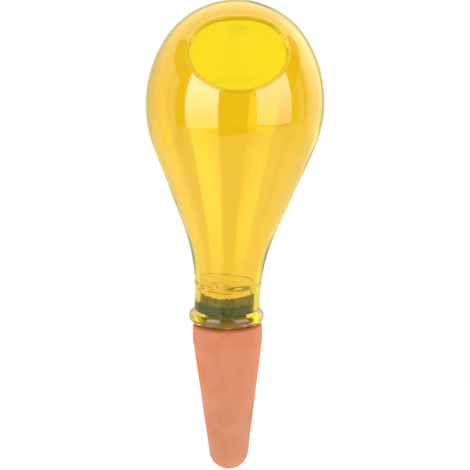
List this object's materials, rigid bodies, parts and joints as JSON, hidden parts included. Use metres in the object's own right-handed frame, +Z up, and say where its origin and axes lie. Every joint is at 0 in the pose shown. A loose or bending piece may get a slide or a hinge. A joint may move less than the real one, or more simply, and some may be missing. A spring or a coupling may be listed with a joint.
{
  "type": "plant watering bulb",
  "caption": "Hand-blown yellow glass watering bulb with a filling hole, held by a rubber seal on a hollow terracotta cone that goes into the soil.",
  "frame": {"origin": "centre of the clay cone's shoulder face, which lies at soil level, on the cone's axis", "axes": "+Z up along the cone, seal and neck, and -Y towards the front, where the filling hole is; the bulb leans about 2.5 degrees towards +X"},
  "size_m": [0.095, 0.095, 0.2605],
  "materials": {
    "glass": "clear yellow blown glass, fire-polished edges",
    "seal": "matt grey rubber with a ragged upper edge",
    "clay": "unglazed terracotta, matt and porous"
  },
  "bodies": {
    "root": {"glass_bulb": "glass", "rubber_seal": "seal", "clay_cone": "clay"}
  },
  "joints": []
}
